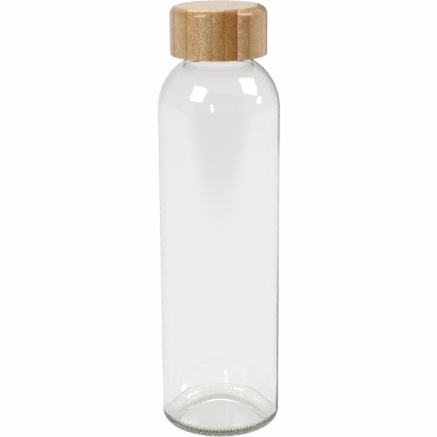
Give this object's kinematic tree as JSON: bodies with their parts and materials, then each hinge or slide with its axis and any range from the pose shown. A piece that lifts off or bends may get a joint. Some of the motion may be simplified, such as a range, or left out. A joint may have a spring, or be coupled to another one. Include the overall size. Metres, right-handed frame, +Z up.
{
  "type": "glass water bottle",
  "caption": "Straight-walled round glass water bottle with a domed shoulder, threaded neck and a turned laminated bamboo screw lid.",
  "frame": {"origin": "centre of the base, on the surface that the bottle stands on", "axes": "+Z up along the bottle's axis, -Y towards the viewer, +X to the viewer's right; the bamboo strips of the lid lie side by side along X"},
  "size_m": [0.065, 0.065, 0.2326],
  "materials": {
    "clear_glass": "clear, polished",
    "bamboo": "sanded, satin lacquer",
    "white_plastic": "moulded, matt",
    "silicone": "soft, translucent"
  },
  "bodies": {
    "bottle": {"bottle": "clear_glass"},
    "seal": {"lid_gasket": "silicone"},
    "lid": {"lid_insert": "white_plastic", "bamboo_strip_1": "bamboo", "bamboo_strip_2": "bamboo", "bamboo_strip_3": "bamboo", "bamboo_strip_4": "bamboo", "bamboo_strip_5": "bamboo", "bamboo_strip_6": "bamboo", "bamboo_strip_7": "bamboo", "bamboo_strip_8": "bamboo", "bamboo_strip_9": "bamboo"}
  },
  "joints": [
    {"name": "lid_rise", "type": "slide", "parent": "bottle", "child": "seal", "axis": [0, 0, 1], "range_m": [0, 0.0252]},
    {"name": "lid_turn", "type": "hinge", "parent": "seal", "child": "lid", "pos_m": [0, 0, 0.219], "axis": [0, 0, 1], "range_deg": [0, 2160]}
  ],
  "couplings": [
    {"joint": "lid_rise", "follows": "lid_turn", "m_per_rad": 0.00066845}
  ]
}
